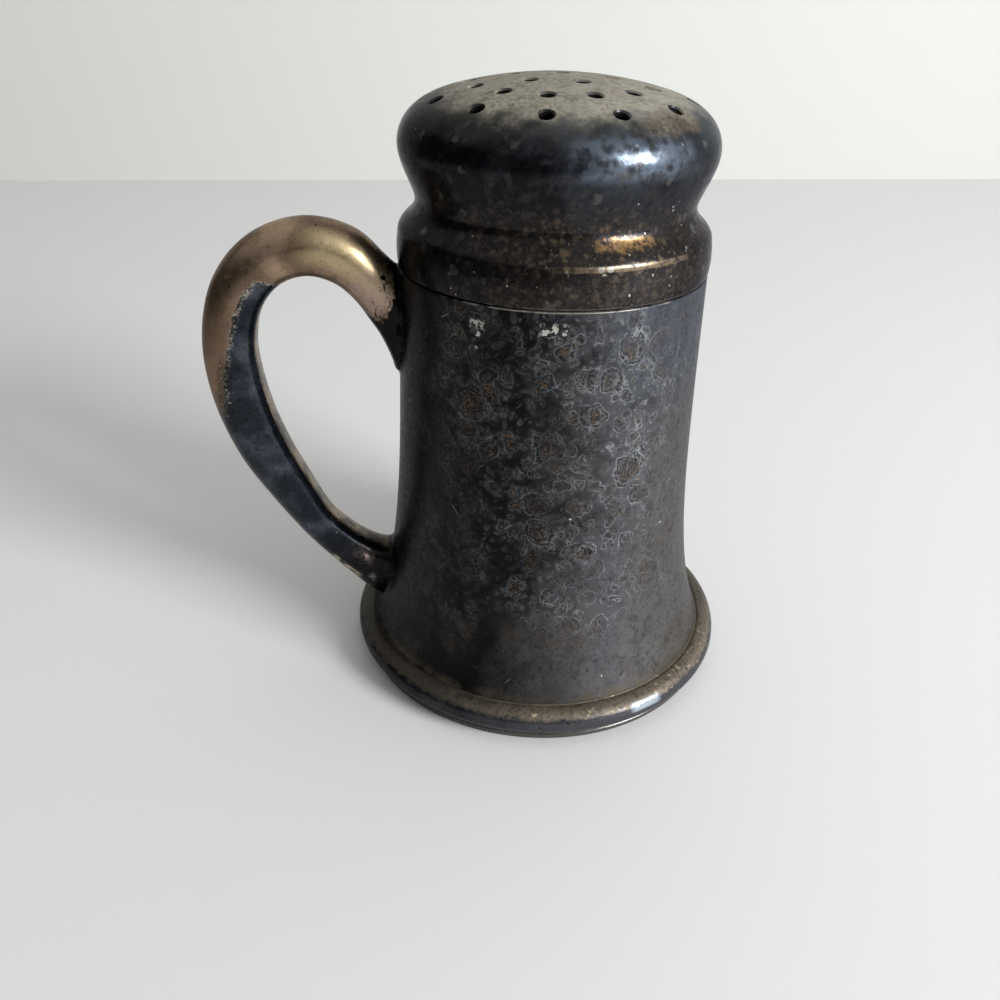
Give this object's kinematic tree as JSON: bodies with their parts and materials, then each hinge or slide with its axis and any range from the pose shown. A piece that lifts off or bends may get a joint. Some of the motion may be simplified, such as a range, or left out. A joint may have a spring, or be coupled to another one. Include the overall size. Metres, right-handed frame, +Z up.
{
  "type": "spice shaker",
  "caption": "Tapering metal shaker on a moulded foot, with a C-shaped hollow handle and a pierced domed cap that pulls off a collar in its mouth.",
  "frame": {"origin": "middle of the whole outline in plan, handle included, on the plane the foot rests on", "axes": "+Z up along the body's axis, -X from the body towards the handle, +Y completes a right-handed frame"},
  "size_m": [0.0996, 0.076, 0.1093],
  "materials": {
    "body_plate": "heavily tarnished silver plate, blue-black with brown ring stains",
    "foot_plate": "tarnished silver plate, worn golden brown on its upper face",
    "base_plate": "dull tarnished plate",
    "bare_metal": "satin, lightly tarnished",
    "handle_plate": "worn through to a bronze tone above, blue-black tarnish below",
    "strip_plate": "satin, tarnished",
    "cap_plate": "tarnished silver plate, dusty and matte on the dome, glossy at the sides"
  },
  "bodies": {
    "shaker_body": {"body_shell": "body_plate", "foot_ring": "foot_plate", "base_plate": "base_plate", "neck_collar": "bare_metal", "handle_shell": "handle_plate", "handle_inner_strip": "strip_plate"},
    "cap": {"cap_shell": "cap_plate", "cap_inner_ring": "bare_metal"}
  },
  "joints": [
    {"name": "cap_lift", "type": "slide", "parent": "shaker_body", "child": "cap", "axis": [0, 0, 1], "range_m": [0, 0.03]}
  ]
}
